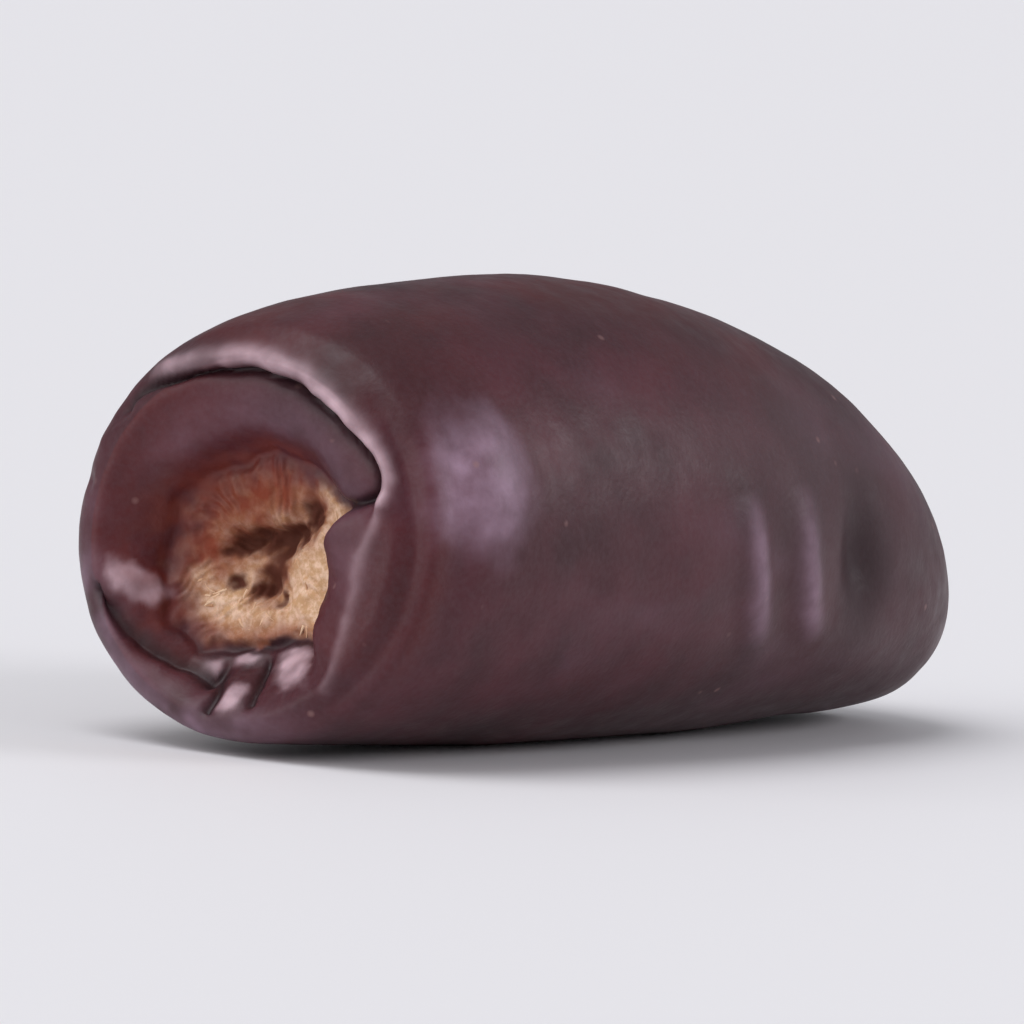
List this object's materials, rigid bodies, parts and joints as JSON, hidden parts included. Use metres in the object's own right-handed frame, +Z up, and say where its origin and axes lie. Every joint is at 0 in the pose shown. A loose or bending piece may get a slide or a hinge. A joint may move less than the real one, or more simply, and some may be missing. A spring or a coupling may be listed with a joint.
{
  "type": "fard date",
  "caption": "Long, gently arched dried date lying on its side, with a rolled rim round a torn fibrous stem scar, soft dents and creases.",
  "frame": {"origin": "on the resting surface, under the middle of the fruit's bounding box", "axes": "+Y along the fruit from the stem end to the tip, +Z up from the surface it rests on, +X to the right when it is seen from the stem end"},
  "size_m": [0.0196, 0.0414, 0.0184],
  "materials": {
    "skin": "satin, dark plum-brown fruit skin, tan and fibrous at the stem scar"
  },
  "bodies": {
    "root": {"date_fruit": "skin"}
  },
  "joints": []
}
